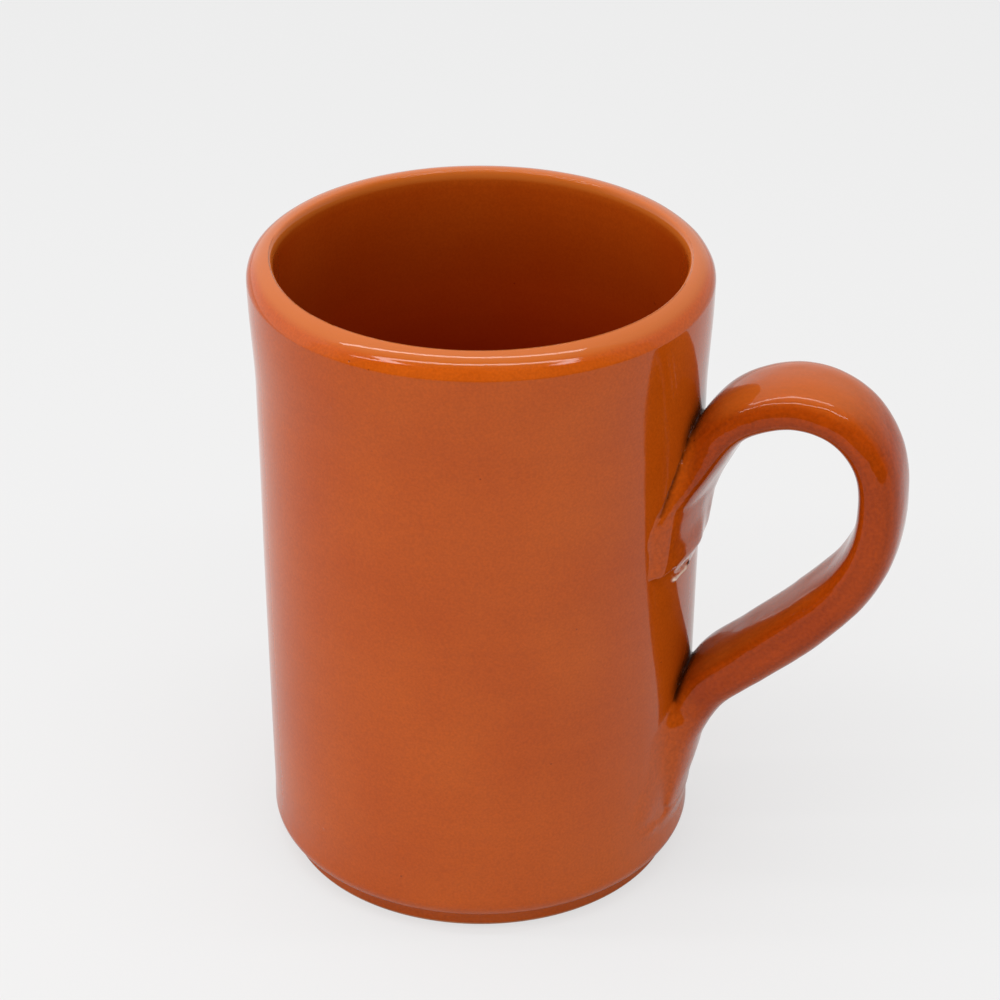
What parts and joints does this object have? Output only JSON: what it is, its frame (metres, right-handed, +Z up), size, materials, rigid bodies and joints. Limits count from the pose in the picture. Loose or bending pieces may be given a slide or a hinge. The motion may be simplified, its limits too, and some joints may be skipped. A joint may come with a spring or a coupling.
{
  "type": "mug",
  "caption": "Straight-sided glazed clay mug with a rolled lip, a turned foot and a pulled strap handle wiped on to its wall.",
  "frame": {"origin": "centre of the foot, on the surface that the mug stands on", "axes": "+Z up along the cup's axis, handle on the +X side in the XZ plane"},
  "size_m": [0.1217, 0.0844, 0.122],
  "materials": {
    "glazed_clay_body": "clear gloss glaze over orange-brown clay",
    "glazed_clay_handle": "clear gloss glaze over orange-brown clay",
    "glazed_clay_joint": "clear gloss glaze over wiped clay"
  },
  "bodies": {
    "root": {"body": "glazed_clay_body", "handle": "glazed_clay_handle", "upper_joint_clay": "glazed_clay_joint", "lower_joint_clay": "glazed_clay_joint"}
  },
  "joints": []
}
